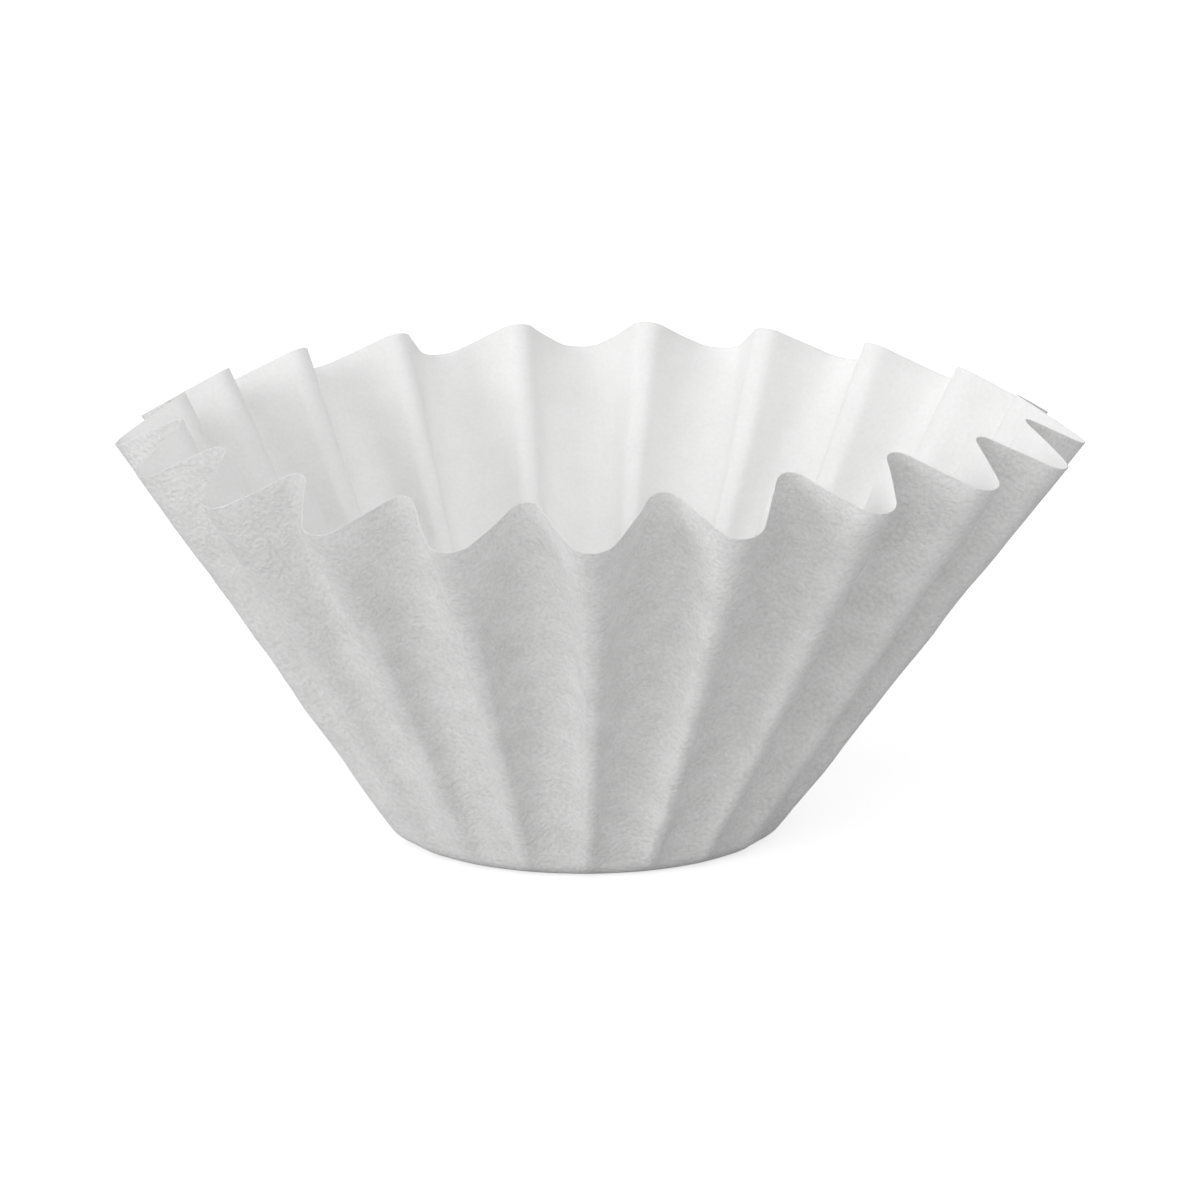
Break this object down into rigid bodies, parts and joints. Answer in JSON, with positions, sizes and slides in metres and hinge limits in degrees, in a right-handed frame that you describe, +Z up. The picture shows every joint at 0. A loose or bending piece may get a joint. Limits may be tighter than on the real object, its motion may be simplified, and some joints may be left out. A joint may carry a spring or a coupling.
{
  "type": "paper coffee filter",
  "caption": "Flat-bottomed basket coffee filter of thin white paper, its wall gathered into even flutes that open out to the rim",
  "frame": {"origin": "centre of the underside of the flat base", "axes": "+Z is up, out of the open mouth; a flute's crest faces -Y, the front"},
  "size_m": [0.131, 0.131, 0.0596],
  "materials": {
    "paper": "matt, uncoated, slightly fibrous"
  },
  "bodies": {
    "root": {"filter_paper": "paper"}
  },
  "joints": []
}
